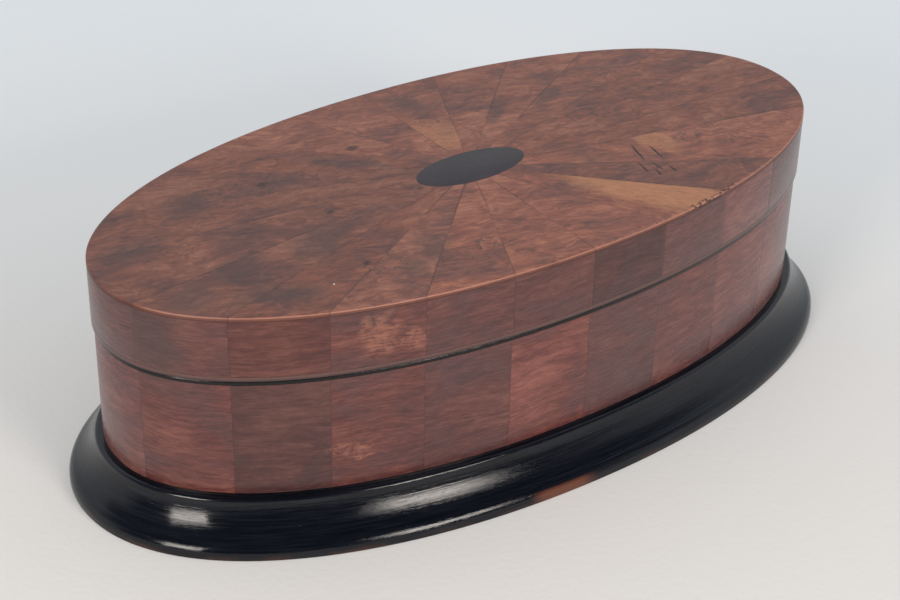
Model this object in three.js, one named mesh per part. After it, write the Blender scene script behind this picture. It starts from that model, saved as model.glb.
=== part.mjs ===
// Oval box with a lift-off lid, veneered in figured reddish wood, on an ebonised moulded plinth.
// Millimetres, +Z up, length along X, front towards -Y, origin under the middle of the plinth.

import * as THREE from 'three';

// Outline of the lid, which every other outline runs parallel to
const LID_LENGTH = 300;
const LID_WIDTH = 144.3;
const OVAL_POWER = 2.11;
const BODY_INSET = 0.8;

// Heights
const PLINTH_HEIGHT = 18.7;
const BODY_HEIGHT = 45.2;
const LID_HEIGHT = 24.6;
const LIP_RISE = 5;
const PANEL_THICKNESS = 6.5;
const FLOOR_THICKNESS = 5;
const LID_STRINGING_HEIGHT = 1.8;
const BODY_STRINGING_HEIGHT = 1.4;

// Wall layers, from the outside in
const VENEER_THICKNESS = 1.2;
const CARCASS_THICKNESS = 7;
const LINER_THICKNESS = 2.6;

// Clearances
const GLUE_LINE = 0.1;
const SEAM_GAP = 0.12;
const LIP_PLAY = 0.5;
const LID_SEAT_GAP = 0.3;

// Veneer strips round the walls and rays on the top, with the dark oval let into their middle
const STRIP_COUNT = 22;
const INLAY_LENGTH = 46;
const INLAY_WIDTH = 21;

// Plinth moulding, measured outwards from the body's wall and down from the plinth's top
const FILLET_WIDTH = 1;
const FILLET_STEP = 0.4;
const BEAD_RADIUS = 1.5;
const BEAD_QUIRK = 0.7;
const HOLLOW_START_SLOPE = THREE.MathUtils.degToRad(76);
const HOLLOW_START_PULL = 4.8;
const HOLLOW_END_PULL = 4.8;
const NOSING_RADIUS = 5;
const NOSING_LEVEL = 1.3;
const NOSING_TURN = THREE.MathUtils.degToRad(55);
const PLINTH_PROJECTION = 13.1;
const FOOT_CHAMFER = 0.2;

// Fineness of the facets
const LARGEST_TURN = THREE.MathUtils.degToRad(4);
const MEASURING_STEPS = 2880;
const CURVE_DIVISIONS = 4;

// Levels and outline distances that follow from the sizes above
const rimLevel = PLINTH_HEIGHT + BODY_HEIGHT;
const carcassLow = PLINTH_HEIGHT + GLUE_LINE;
const lidLow = rimLevel + LID_SEAT_GAP;
const lidTop = lidLow + LID_HEIGHT;
const topVeneerLow = lidTop - VENEER_THICKNESS;
const panelHigh = topVeneerLow - GLUE_LINE;
const panelLow = panelHigh - PANEL_THICKNESS;
const lidCore = -VENEER_THICKNESS - GLUE_LINE;
const bodyCore = lidCore - BODY_INSET;
const carcassInside = bodyCore - CARCASS_THICKNESS;
const linerOutside = carcassInside - GLUE_LINE;
const rimInside = linerOutside + LIP_PLAY;

const figuredWood = (colour) => new THREE.MeshStandardMaterial({
  color: colour,
  roughness: 0.35,
  metalness: 0,
});
const ebonisedWood = new THREE.MeshStandardMaterial({ color: 0x16181f, roughness: 0.22, metalness: 0 });
const blackStringing = new THREE.MeshStandardMaterial({ color: 0x1d1c1f, roughness: 0.3, metalness: 0 });
const ebonyInlay = new THREE.MeshStandardMaterial({ color: 0x3a3a42, roughness: 0.35, metalness: 0 });
const carcassWood = new THREE.MeshStandardMaterial({ color: 0x8a6246, roughness: 0.6, metalness: 0 });
const linerWood = new THREE.MeshStandardMaterial({ color: 0x6b3f2a, roughness: 0.5, metalness: 0 });

const lidBandShade = 0x734c42;
const bodyShades = [0x7b5248, 0x5d4240, 0x734a40, 0x6a4740];
const topShades = [0x835c50, 0x7a544b, 0x8c6250, 0x74514a];

// The point of the lid's outline whose outward normal has this angle. The same angle gives the
// matching point of every parallel outline, at a distance outwards (or inwards where negative).
function outlinePoint(angle, distance) {
  const cos = Math.cos(angle);
  const sin = Math.sin(angle);
  const power = OVAL_POWER / (OVAL_POWER - 1);
  const alongX = (LID_LENGTH / 2) * Math.abs(cos);
  const alongY = (LID_WIDTH / 2) * Math.abs(sin);
  const support = (alongX ** power + alongY ** power) ** (1 / power);
  const x = Math.sign(cos) * (LID_LENGTH / 2) * (alongX / support) ** (power - 1);
  const y = Math.sign(sin) * (LID_WIDTH / 2) * (alongY / support) ** (power - 1);
  return new THREE.Vector2(x + distance * cos, y + distance * sin);
}

// Normal angles at the seams, which share the lid's outline into equal lengths from the front middle
function measureSeams() {
  const start = -Math.PI / 2;
  const step = (2 * Math.PI) / MEASURING_STEPS;
  const lengths = [0];
  for (let i = 1; i <= MEASURING_STEPS; i += 1) {
    const before = outlinePoint(start + (i - 1) * step, 0);
    const here = outlinePoint(start + i * step, 0);
    lengths.push(lengths[i - 1] + before.distanceTo(here));
  }
  const stripLength = lengths[MEASURING_STEPS] / STRIP_COUNT;
  const seams = [];
  let i = 0;
  for (let strip = 0; strip < STRIP_COUNT; strip += 1) {
    const target = strip * stripLength;
    while (lengths[i + 1] <= target) {
      i += 1;
    }
    const share = (target - lengths[i]) / (lengths[i + 1] - lengths[i]);
    seams.push(start + (i + share) * step);
  }
  seams.push(start + 2 * Math.PI);
  return seams;
}

// Normal angles of one strip's facets. An even number puts a corner at the strip's middle, and so
// at both ends of the oval.
function stripAngles(from, to) {
  const facets = 2 * Math.ceil((to - from) / (2 * LARGEST_TURN));
  return Array.from({ length: facets + 1 }, (_, i) => from + ((to - from) * i) / facets);
}

const seams = measureSeams();
const strips = seams.slice(0, -1).map((seam, i) => stripAngles(seam, seams[i + 1]));
const outlineAngles = strips.flatMap((angles) => angles.slice(0, -1));

function outline(distance) {
  return outlineAngles.map((angle) => outlinePoint(angle, distance));
}

function extrude(shape, low, high) {
  const geometry = new THREE.ExtrudeGeometry(shape, { depth: high - low, bevelEnabled: false });
  geometry.translate(0, 0, low);
  return geometry;
}

function ringGeometry(outside, inside, low, high) {
  const shape = new THREE.Shape(outline(outside));
  shape.holes.push(new THREE.Path(outline(inside)));
  return extrude(shape, low, high);
}

function boardGeometry(outside, low, high) {
  return extrude(new THREE.Shape(outline(outside)), low, high);
}

// One wall strip: its ends are cut square to the wall, half a seam gap short of each seam
function wallStripGeometry(angles, outside, low, high) {
  const edge = (distance) => angles.map((angle, i) => {
    const point = outlinePoint(angle, distance);
    const inwards = (i === 0 ? 1 : 0) - (i === angles.length - 1 ? 1 : 0);
    const shift = (inwards * SEAM_GAP) / 2;
    return point.add(new THREE.Vector2(-Math.sin(angle) * shift, Math.cos(angle) * shift));
  });
  const inside = edge(outside - VENEER_THICKNESS).reverse();
  return extrude(new THREE.Shape([...edge(outside), ...inside]), low, high);
}

// The point of the dark oval's edge in the direction of another point, let out by a margin
function inlayPoint(towards, margin) {
  const direction = towards.clone().normalize();
  const alongX = direction.x / (INLAY_LENGTH / 2 + margin);
  const alongY = direction.y / (INLAY_WIDTH / 2 + margin);
  return direction.divideScalar(Math.hypot(alongX, alongY));
}

// One ray of the top: its sides run to the middle, half a seam gap away from each seam
function rayGeometry(angles) {
  const edge = (place) => angles.map((angle, i) => {
    const rim = outlinePoint(angle, 0);
    const sideways = new THREE.Vector2(-rim.y, rim.x).normalize();
    const inwards = (i === 0 ? 1 : 0) - (i === angles.length - 1 ? 1 : 0);
    return place(rim).addScaledVector(sideways, (inwards * SEAM_GAP) / 2);
  });
  const rim = edge((point) => point.clone());
  const middle = edge((point) => inlayPoint(point, SEAM_GAP)).reverse();
  return extrude(new THREE.Shape([...rim, ...middle]), topVeneerLow, lidTop);
}

function inlayGeometry() {
  const edge = outline(0).map((point) => inlayPoint(point, 0));
  return extrude(new THREE.Shape(edge), topVeneerLow, lidTop);
}

// Section of the moulding from the fillet beside the wall to the foot, as distance from the lid's
// outline and height. The hollow runs smoothly into the rounded nosing.
function plinthSection() {
  const wall = -BODY_INSET;
  const beadMiddle = wall + FILLET_WIDTH + BEAD_QUIRK;
  const beadLevel = PLINTH_HEIGHT - FILLET_STEP - BEAD_RADIUS;
  const beadTop = beadLevel + BEAD_RADIUS;
  const face = wall + PLINTH_PROJECTION;
  const nosingMiddle = face - NOSING_RADIUS;
  const hollowStart = beadMiddle + BEAD_RADIUS;
  const hollowEnd = nosingMiddle + NOSING_RADIUS * Math.cos(NOSING_TURN);
  const hollowLow = NOSING_LEVEL + NOSING_RADIUS * Math.sin(NOSING_TURN);
  const section = new THREE.Path();
  section.moveTo(wall + FILLET_WIDTH, PLINTH_HEIGHT);
  section.lineTo(wall + FILLET_WIDTH, beadTop);
  section.lineTo(beadMiddle, beadTop);
  section.absarc(beadMiddle, beadLevel, BEAD_RADIUS, Math.PI / 2, 0, true);
  section.bezierCurveTo(
    hollowStart + HOLLOW_START_PULL * Math.cos(HOLLOW_START_SLOPE),
    beadLevel - HOLLOW_START_PULL * Math.sin(HOLLOW_START_SLOPE),
    hollowEnd - HOLLOW_END_PULL * Math.sin(NOSING_TURN),
    hollowLow + HOLLOW_END_PULL * Math.cos(NOSING_TURN),
    hollowEnd, hollowLow,
  );
  section.absarc(nosingMiddle, NOSING_LEVEL, NOSING_RADIUS, NOSING_TURN, 0, true);
  section.lineTo(face, FOOT_CHAMFER);
  section.lineTo(face - FOOT_CHAMFER, 0);
  return section.getPoints(CURVE_DIVISIONS);
}

// The section swept round the outline, closed by a flat top and a flat underside
function plinthGeometry() {
  const section = plinthSection();
  const rings = section.map((point) => outline(point.x).map((p) => [p.x, p.y, point.y]));
  const count = outlineAngles.length;
  const faces = [];
  for (let level = 0; level + 1 < rings.length; level += 1) {
    const upper = level * count;
    const lower = upper + count;
    for (let i = 0; i < count; i += 1) {
      const next = (i + 1) % count;
      faces.push(upper + i, lower + i, lower + next);
      faces.push(upper + i, lower + next, upper + next);
    }
  }
  const lowest = rings.length - 1;
  const topFace = THREE.ShapeUtils.triangulateShape(outline(section[0].x), []);
  const underside = THREE.ShapeUtils.triangulateShape(outline(section[lowest].x), []);
  topFace.forEach(([a, b, c]) => faces.push(a, b, c));
  underside.forEach(([a, b, c]) => faces.push(lowest * count + a, lowest * count + c, lowest * count + b));
  const geometry = new THREE.BufferGeometry();
  geometry.setAttribute('position', new THREE.Float32BufferAttribute(rings.flat(2), 3));
  geometry.setIndex(faces);
  geometry.computeVertexNormals();
  return geometry;
}

const ovalBox = new THREE.Group();
const boxBody = new THREE.Group();
const lid = new THREE.Group();
ovalBox.add(boxBody, lid);

function addPiece(group, name, geometry, material) {
  const piece = new THREE.Mesh(geometry, material);
  piece.name = name;
  group.add(piece);
}

function numbered(name, index) {
  return `${name}_${String(index + 1).padStart(2, '0')}`;
}

// Box body
const bodyStringingLow = rimLevel - BODY_STRINGING_HEIGHT;
const carcass = ringGeometry(bodyCore, carcassInside, carcassLow, rimLevel);
const floorBoard = boardGeometry(linerOutside, carcassLow, carcassLow + FLOOR_THICKNESS);
const linerLow = carcassLow + FLOOR_THICKNESS + GLUE_LINE;
const liner = ringGeometry(linerOutside, linerOutside - LINER_THICKNESS, linerLow, rimLevel + LIP_RISE);
const bodySkin = -BODY_INSET - VENEER_THICKNESS;
const bodyStringing = ringGeometry(-BODY_INSET, bodySkin, bodyStringingLow, rimLevel);
addPiece(boxBody, 'plinth', plinthGeometry(), ebonisedWood);
addPiece(boxBody, 'carcass_wall', carcass, carcassWood);
addPiece(boxBody, 'floor_board', floorBoard, linerWood);
addPiece(boxBody, 'liner_with_lip', liner, linerWood);
addPiece(boxBody, 'body_edge_stringing', bodyStringing, blackStringing);
strips.forEach((angles, i) => {
  const strip = wallStripGeometry(angles, -BODY_INSET, carcassLow, bodyStringingLow - GLUE_LINE);
  addPiece(boxBody, numbered('body_veneer', i), strip, figuredWood(bodyShades[i % bodyShades.length]));
});

// Lid
const lidStringingHigh = lidLow + LID_STRINGING_HEIGHT;
const lidRim = ringGeometry(lidCore, rimInside, lidLow, panelLow - GLUE_LINE);
const lidStringing = ringGeometry(0, -VENEER_THICKNESS, lidLow, lidStringingHigh);
const lidBand = ringGeometry(0, -VENEER_THICKNESS, lidStringingHigh + GLUE_LINE, panelHigh);
addPiece(lid, 'lid_rim', lidRim, carcassWood);
addPiece(lid, 'lid_panel', boardGeometry(lidCore, panelLow, panelHigh), carcassWood);
addPiece(lid, 'lid_edge_stringing', lidStringing, blackStringing);
addPiece(lid, 'lid_side_veneer', lidBand, figuredWood(lidBandShade));
strips.forEach((angles, i) => {
  addPiece(lid, numbered('top_veneer', i), rayGeometry(angles), figuredWood(topShades[i % topShades.length]));
});
addPiece(lid, 'centre_inlay', inlayGeometry(), ebonyInlay);

export default ovalBox;
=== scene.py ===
# %% [markdown]
# # An oval veneered box
#
# An oval wall and a loose lid, both covered in strips and rays of reddish figured veneer, stand on a
# moulded foot stained black. The construction model already holds every piece at its real size. This
# script gives the pieces their round shapes and finishes, and loads that model first as a fixed frame.

import math
import random
from functools import partialmethod

import bmesh
import bpy
from mathutils import Matrix, Vector


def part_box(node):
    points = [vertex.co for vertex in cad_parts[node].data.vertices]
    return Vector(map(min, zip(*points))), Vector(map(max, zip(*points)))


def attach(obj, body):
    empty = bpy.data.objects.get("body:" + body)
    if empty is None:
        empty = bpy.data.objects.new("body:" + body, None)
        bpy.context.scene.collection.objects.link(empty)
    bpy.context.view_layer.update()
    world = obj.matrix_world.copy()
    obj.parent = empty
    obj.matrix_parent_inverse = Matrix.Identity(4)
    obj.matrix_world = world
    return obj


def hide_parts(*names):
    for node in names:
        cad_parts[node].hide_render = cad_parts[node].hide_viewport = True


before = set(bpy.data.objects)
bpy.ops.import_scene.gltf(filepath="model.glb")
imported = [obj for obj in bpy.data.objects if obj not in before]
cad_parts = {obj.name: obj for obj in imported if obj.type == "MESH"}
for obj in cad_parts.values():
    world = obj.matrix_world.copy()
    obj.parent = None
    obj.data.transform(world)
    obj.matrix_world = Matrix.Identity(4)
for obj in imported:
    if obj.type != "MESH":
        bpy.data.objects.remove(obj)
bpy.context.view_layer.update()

# %% [markdown]
# ## Sizes
#
# Sizes are read from the frame's nodes where they can be, so that a piece made here can't drift away
# from the solid it stands for. The few that the boxes don't give are named here. Shapes are in metres,
# and the finishes work in millimetres.

# %% Sizes from the frame
MM = 0.001

band_low, band_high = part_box("lid_side_veneer")
wall_low, wall_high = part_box("body_veneer_06")
_, foot_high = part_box("plinth")
carcass_low, carcass_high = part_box("carcass_wall")
liner_low, liner_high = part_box("liner_with_lip")
rim_low, rim_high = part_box("lid_rim")
wall_line_low, wall_line_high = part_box("body_edge_stringing")
lid_line_low, lid_line_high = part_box("lid_edge_stringing")
top_low, top_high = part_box("top_veneer_06")
inlay_low, inlay_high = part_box("centre_inlay")

LENGTH = band_high.x - band_low.x
WIDTH = band_high.y - band_low.y
OVAL_POWER = 2.11
STRIPS = 22
SEAM = 0.02 * MM
VENEER = 1.2 * MM
LID_TOP = top_high.z


def distance_out(high):
    """How far a ring's outside lies outwards from the lid's outline; less than 0 is inwards."""
    return high.x - LENGTH / 2


print("lid", round(LENGTH / MM, 1), "by", round(WIDTH / MM, 1), "mm")


# %% [markdown]
# ## Writing nodes as sums
#
# Both the shapes and the finishes are node trees. They read more easily when their arithmetic looks
# like arithmetic, so a small class wraps an output socket: adding or multiplying two of them adds the
# Math node that does it. Every other node comes from one method, which takes its type, its settings
# and what goes into its sockets.

# %% A wrapped socket
class Link:
    def __init__(self, nodes, socket):
        self.nodes = nodes
        self.socket = socket

    def out(self, name):
        return Link(self.nodes, self.socket.node.outputs[name])

    def math(self, operation, *others):
        return self.nodes.math(operation, self, *others)

    def swapped(self, operation, other):
        return self.nodes.math(operation, other, self)

    __add__ = partialmethod(math, "ADD")
    __radd__ = partialmethod(swapped, "ADD")
    __sub__ = partialmethod(math, "SUBTRACT")
    __rsub__ = partialmethod(swapped, "SUBTRACT")
    __mul__ = partialmethod(math, "MULTIPLY")
    __truediv__ = partialmethod(math, "DIVIDE")
    __rtruediv__ = partialmethod(swapped, "DIVIDE")
    __pow__ = partialmethod(math, "POWER")


# %% A tree that nodes are added to
class Nodes:
    def __init__(self, tree):
        self.tree = tree

    def add(self, kind, settings=None, inputs=None, output=0):
        node = self.tree.nodes.new(kind)
        for name, value in (settings or {}).items():
            if name == "stops":
                self.set_stops(node.color_ramp, value)
            else:
                setattr(node, name, value)
        for key, value in (inputs or {}).items():
            if isinstance(value, Link):
                self.tree.links.new(value.socket, node.inputs[key])
            else:
                node.inputs[key].default_value = value
        return Link(self, node.outputs[output]) if node.outputs else node

    def set_stops(self, ramp, stops):
        while len(ramp.elements) < len(stops):
            ramp.elements.new(0.5)
        for element, (position, colour) in zip(ramp.elements, stops):
            element.position = position
            element.color = (*colour, 1)

    def math(self, operation, *values):
        return self.add("ShaderNodeMath", {"operation": operation}, dict(enumerate(values)))

    def vector(self, operation, *values, output=0):
        return self.add("ShaderNodeVectorMath", {"operation": operation}, dict(enumerate(values)), output)

    def measure(self, operation, *values):
        """A vector operation whose answer is one number."""
        return self.vector(operation, *values, output="Value")

    def scale(self, vector, amount):
        return self.add("ShaderNodeVectorMath", {"operation": "SCALE"}, {0: vector, "Scale": amount})

    def combine(self, x, y, z):
        return self.add("ShaderNodeCombineXYZ", {}, {0: x, 1: y, 2: z})

    def split(self, vector):
        parts = self.add("ShaderNodeSeparateXYZ", {}, {0: vector})
        return parts, parts.out("Y"), parts.out("Z")


# %% [markdown]
# ## The oval as a curve
#
# Every piece runs round the same oval, between an ellipse and a rounded oblong. The node trees make it
# as a fine closed curve that starts at the middle of the front. A curve can be asked for the point at
# any share of its length, which spaces the seams evenly, as strips sawn to one width are.

# %% Oval curve and group inputs
OVAL_POINTS = 1440
OVAL_SIZES = ["Length", "Width", "Power"]
UP = (0.0, 0.0, 1.0)


def new_tree(name, count, sizes=()):
    """A tree whose inputs are the geometry, the oval, one whole number, more sizes and a material."""
    tree = bpy.data.node_groups.new(name, "GeometryNodeTree")
    tree.interface.new_socket("Geometry", in_out="OUTPUT", socket_type="NodeSocketGeometry")
    inputs = [("Geometry", "Geometry"), *((label, "Float") for label in OVAL_SIZES), (count, "Int")]
    for label, kind in [*inputs, *((label, "Float") for label in sizes), ("Material", "Material")]:
        tree.interface.new_socket(label, in_out="INPUT", socket_type="NodeSocket" + kind)
    nodes = Nodes(tree)
    return nodes, nodes.add("NodeGroupInput")


def oval_curve(nodes, group):
    circle = nodes.add("GeometryNodeCurvePrimitiveCircle", {"mode": "RADIUS"}, {"Resolution": OVAL_POINTS})
    index = nodes.add("GeometryNodeInputIndex")
    angle = index * (2 * math.pi / OVAL_POINTS) - math.pi / 2
    cos = angle.math("COSINE")
    sin = angle.math("SINE")
    power = 2 / group.out("Power")
    x = cos.math("SIGN") * cos.math("ABSOLUTE") ** power * group.out("Length") / 2
    y = sin.math("SIGN") * sin.math("ABSOLUTE") ** power * group.out("Width") / 2
    place = nodes.combine(x, y, 0.0)
    return nodes.add("GeometryNodeSetPosition", {}, {"Geometry": circle, "Position": place})


def oval_point(angle):
    """The same curve in plain numbers."""
    power = 2 / OVAL_POWER
    x = math.copysign(abs(math.cos(angle)) ** power, math.cos(angle)) * LENGTH / 2
    y = math.copysign(abs(math.sin(angle)) ** power, math.sin(angle)) * WIDTH / 2
    return Vector((x, y, 0))


oval_points = [oval_point(2 * math.pi * i / OVAL_POINTS - math.pi / 2) for i in range(OVAL_POINTS)]
OVAL_LENGTH = sum((oval_points[i] - oval_points[i - 1]).length for i in range(OVAL_POINTS))
STRIP_LENGTH = OVAL_LENGTH / STRIPS
print("round the oval", round(OVAL_LENGTH / MM, 2), "mm, one strip", round(STRIP_LENGTH / MM, 2), "mm")


# %% [markdown]
# ## Copies of a flat blank, one for each strip
#
# A strip of wall veneer starts as a flat blank and is bent round the wall. The tree does the same: it
# takes one flat blank, lays out a copy for each strip, and writes the strip's number on it. Realize
# Instances comes before the bending, because each copy's points have to move on their own.

# %% Lay out the copies and find their places on the oval
def set_value(nodes, geometry, name, value, domain="POINT"):
    settings = {"data_type": "FLOAT", "domain": domain}
    inputs = {"Geometry": geometry, "Name": name, "Value": value}
    return nodes.add("GeometryNodeStoreNamedAttribute", settings, inputs)


def get_value(nodes, name):
    return nodes.add("GeometryNodeInputNamedAttribute", {"data_type": "FLOAT"}, {"Name": name})


def copies(nodes, blank, count):
    line = nodes.add("GeometryNodeMeshLine", {"mode": "OFFSET"}, {"Count": count, "Offset": (0, 0, 0)})
    placed = nodes.add("GeometryNodeInstanceOnPoints", {}, {"Points": line, "Instance": blank})
    numbered = set_value(nodes, placed, "strip", nodes.add("GeometryNodeInputIndex"), "INSTANCE")
    return nodes.add("GeometryNodeRealizeInstances", {}, {"Geometry": numbered})


def place_on_oval(nodes, oval, share):
    """The oval's point at a share of its length, its direction there and the way into the wall."""
    sample = nodes.add("GeometryNodeSampleCurve", {"mode": "FACTOR"}, {"Curves": oval, "Factor": share})
    along = sample.out("Tangent")
    return sample.out("Position"), along, nodes.vector("CROSS_PRODUCT", UP, along)


def end_tree(nodes, geometry, group):
    real = nodes.add("GeometryNodeRealizeInstances", {}, {"Geometry": geometry})
    faced = nodes.add("GeometryNodeSetMaterial", {}, {"Geometry": real, "Material": group.out("Material")})
    nodes.add("NodeGroupOutput", {}, {"Geometry": faced})
    return nodes.tree


# %% [markdown]
# ## Tree one: strips bent round the wall
#
# A blank's x runs along the wall, its y goes into the wall and its z is the height. The tree turns x
# into a share of the oval's length and moves the point inwards by y. It also leaves two measures on
# each point for the finish: how far along the wall it is, and how far it is from the nearest seam.

# %% Tree for bent strips
def bent_strips_tree():
    nodes, group = new_tree("strips bent round the wall", "Strips")
    oval = oval_curve(nodes, group)
    strips = group.out("Strips")
    strip_length = nodes.add("GeometryNodeCurveLength", {}, {"Curve": oval}) / strips
    pieces = copies(nodes, group, strips)
    strip = get_value(nodes, "strip")
    x, depth, height = nodes.split(nodes.add("GeometryNodeInputPosition"))
    pieces = set_value(nodes, pieces, "along", strip * strip_length + x)
    pieces = set_value(nodes, pieces, "seam", x.math("MINIMUM", strip_length - x))
    rim, _, inwards = place_on_oval(nodes, oval, (strip + x / strip_length) / strips)
    raised = nodes.vector("ADD", rim, nodes.combine(0.0, 0.0, height))
    place = nodes.vector("ADD", raised, nodes.scale(inwards, depth))
    bent = nodes.add("GeometryNodeSetPosition", {}, {"Geometry": pieces, "Position": place})
    return end_tree(nodes, bent, group)


BENT_STRIPS = bent_strips_tree()
print(BENT_STRIPS.name, len(BENT_STRIPS.nodes), "nodes")


# %% [markdown]
# ## Tree two: rays across the top
#
# The top is cut from rays that all point to the dark oval in the middle. Their blank is drawn in
# shares: x from one seam to the next, and y from the rim, at 0, to the inlay, at 1. The outer edge is
# worn round by real millimetres, not by shares, so a y below 0 is read as metres outside that line.
# One ray on the real lid is wider than the rest, and the three after it are squeezed to make room.

# %% Tree for rays
SQUEEZED_RAYS = 3
RAY_SIZES = ["Seam", "Worn edge", "Inlay length", "Inlay width", "Wide ray", "Wider by"]


def rays_tree():
    nodes, group = new_tree("rays across the top", "Strips", RAY_SIZES)
    oval = oval_curve(nodes, group)
    strips = group.out("Strips")
    seam = group.out("Seam")
    strip_length = nodes.add("GeometryNodeCurveLength", {}, {"Curve": oval}) / strips
    pieces = copies(nodes, group, strips)
    x, y, height = nodes.split(nodes.add("GeometryNodeInputPosition"))
    share = get_value(nodes, "strip") + x
    wide = group.out("Wide ray")
    rise = (share - wide).math("MAXIMUM", 0.0)
    fall = (wide + SQUEEZED_RAYS + 1 - share) / SQUEEZED_RAYS
    moved = rise.math("MINIMUM", fall).math("MAXIMUM", 0.0) * group.out("Wider by") / strip_length
    rim, along, inwards = place_on_oval(nodes, oval, (share + moved) / strips)
    towards = nodes.vector("NORMALIZE", rim)
    direction_x, direction_y, _ = nodes.split(towards)
    across_x = direction_x / (group.out("Inlay length") / 2 + seam)
    across_y = direction_y / (group.out("Inlay width") / 2 + seam)
    reach = 1 / (across_x * across_x + across_y * across_y).math("SQRT")
    inner = nodes.scale(towards, reach)
    start = nodes.vector("ADD", rim, nodes.scale(inwards, group.out("Worn edge")))
    span = nodes.vector("SUBTRACT", inner, start)
    part = nodes.scale(span, y.math("MAXIMUM", 0.0))
    outside = nodes.scale(inwards, y.math("MINIMUM", 0.0))
    sideways = nodes.vector("CROSS_PRODUCT", UP, towards)
    gap = nodes.scale(sideways, (0.5 - x) * seam)
    flat = nodes.vector("ADD", nodes.vector("ADD", start, part), nodes.vector("ADD", outside, gap))
    place = nodes.vector("ADD", flat, nodes.combine(0.0, 0.0, height))
    shrink = nodes.measure("LENGTH", flat) / nodes.measure("LENGTH", rim)
    slant = nodes.measure("DOT_PRODUCT", along, sideways)
    to_seam = x.math("MINIMUM", 1 - x) * strip_length * shrink * slant
    pieces = set_value(nodes, pieces, "seam", to_seam)
    pieces = set_value(nodes, pieces, "rim", nodes.measure("DISTANCE", rim, flat))
    laid = nodes.add("GeometryNodeSetPosition", {}, {"Geometry": pieces, "Position": place})
    return end_tree(nodes, laid, group)


RAYS = rays_tree()
print(RAYS.name, len(RAYS.nodes), "nodes")


# %% [markdown]
# ## Tree three: a section swept right round
#
# The foot moulding, the black lines and the inner lining are one section all the way round. Here the
# object that carries the modifier is the section, a curve drawn as distance outwards and height, and
# Curve to Mesh sweeps it round the oval. A swept section keeps a moulding's small curves true, which
# a stack of flat rings would not.

# %% Tree for swept rings
RING_STEPS = 720


def rings_tree():
    nodes, group = new_tree("section swept round the oval", "Steps")
    oval = oval_curve(nodes, group)
    steps = group.out("Steps")
    path = nodes.add("GeometryNodeResampleCurve", {"mode": "COUNT"}, {"Curve": oval, "Count": steps})
    path = nodes.add("GeometryNodeSetCurveNormal", {"mode": "Z_UP"}, {"Curve": path})
    out, _, _ = nodes.split(nodes.add("GeometryNodeInputPosition"))
    section = set_value(nodes, group, "out", out)
    swept = nodes.add("GeometryNodeCurveToMesh", {}, {"Curve": path, "Profile Curve": section})
    return end_tree(nodes, swept, group)


RINGS = rings_tree()
print(RINGS.name, len(RINGS.nodes), "nodes")


# %% [markdown]
# ## Growing a tree into a plain mesh
#
# The part that leaves this script has to be plain meshes. So each tree's result is read off the
# evaluated object into a new object at the origin, and the one that carried the modifier is deleted.
# Inputs are set by their identifiers, before the object is first evaluated.

# %% Helpers that add, grow, close and smooth a piece
def add_object(name, data):
    made = bpy.data.objects.new(name, data)
    bpy.context.scene.collection.objects.link(made)
    return made


def plain_mesh(work, name):
    mesh = bpy.data.meshes.new(name)
    work.to_mesh(mesh)
    work.free()
    return mesh


def grow(name, data, tree, material, **values):
    carrier = add_object(name + "_blank", data)
    modifier = carrier.modifiers.new("tree", "NODES")
    modifier.node_group = tree
    values = {"Length": LENGTH, "Width": WIDTH, "Power": OVAL_POWER, "Material": material, **values}
    for item in tree.interface.items_tree:
        if item.in_out == "INPUT" and item.name in values:
            modifier[item.identifier] = values[item.name]
    seen = carrier.evaluated_get(bpy.context.evaluated_depsgraph_get())
    mesh = bpy.data.meshes.new_from_object(seen)
    bpy.data.objects.remove(carrier)
    mesh.name = name
    return add_object(name, mesh)


def close_ends(piece):
    """Fills the open ends of a swept section with flat faces."""
    work = bmesh.new()
    work.from_mesh(piece.data)
    bmesh.ops.holes_fill(work, edges=[e for e in work.edges if e.is_boundary], sides=0)
    work.to_mesh(piece.data)
    work.free()


def smooth(piece, degrees=35):
    """Smooths a piece and prints its measures. A volume above 0 shows that its faces point outwards."""
    piece.data.shade_smooth()
    piece.data.set_sharp_from_angle(angle=math.radians(degrees))
    work = bmesh.new()
    work.from_mesh(piece.data)
    open_edges = sum(not edge.is_manifold for edge in work.edges)
    volume = work.calc_volume(signed=True)
    work.free()
    triangles = sum(len(face.vertices) - 2 for face in piece.data.polygons)
    print(f"{piece.name}: {triangles} triangles, {volume * 1e6:.2f} cm3, {open_edges} open edges")


# %% [markdown]
# ## A board for mixing wood colours
#
# The finishes share a few moves: read a position in millimetres, stretch it so that a pattern becomes
# grain, take noise from it, and turn a band of that noise into a mask. They are added to the tree
# class once. Colours are moved only through Mix and Vector Math, because a Math node would grey them.

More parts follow.
